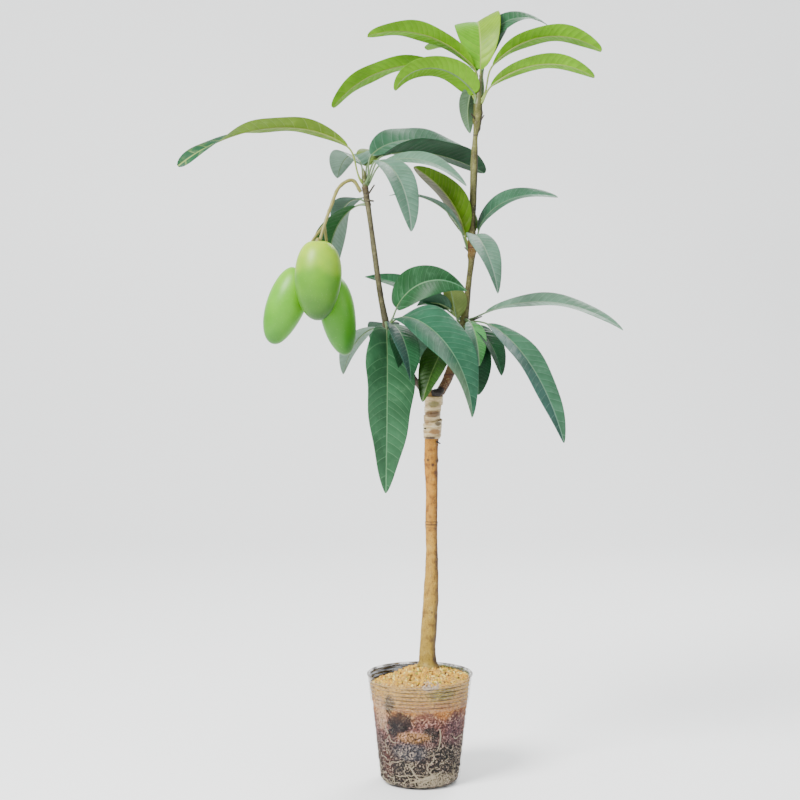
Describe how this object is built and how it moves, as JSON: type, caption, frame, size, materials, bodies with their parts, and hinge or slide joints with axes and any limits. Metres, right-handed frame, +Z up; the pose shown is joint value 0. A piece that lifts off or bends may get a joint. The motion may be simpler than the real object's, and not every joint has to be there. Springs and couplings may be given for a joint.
{
  "type": "mango tree",
  "caption": "Young grafted mango tree in a clear film pot: bare lower trunk, forked leafy top and green fruit hanging on a stalk.",
  "frame": {"origin": "centre of the pot's flat underside", "axes": "+Z up, +X to the right as the tree is seen with its fruit at the left, +Y away from the viewer"},
  "size_m": [0.5779, 0.2711, 1.0429],
  "materials": {
    "pot_film": "clear film over dark soil",
    "soil": "coarse bark and coir crumbs",
    "old_bark": "tan, speckled",
    "young_bark": "olive brown, smooth",
    "grafting_film": "translucent, wound",
    "young_leaf": "bright, slightly waxy",
    "old_leaf": "leathery, slightly waxy",
    "fruit_skin": "smooth, waxy"
  },
  "bodies": {
    "root": {"pot": "pot_film", "root_ball": "soil", "trunk": "old_bark", "leader": "young_bark", "side_shoot": "young_bark", "graft_tape": "grafting_film", "fruit_cluster": "fruit_skin", "leader_top_leaves": "young_leaf", "leader_middle_leaves": "old_leaf", "leader_low_leaves": "old_leaf", "side_top_leaves": "old_leaf", "side_middle_leaves": "old_leaf", "side_low_leaves": "old_leaf"}
  },
  "joints": []
}
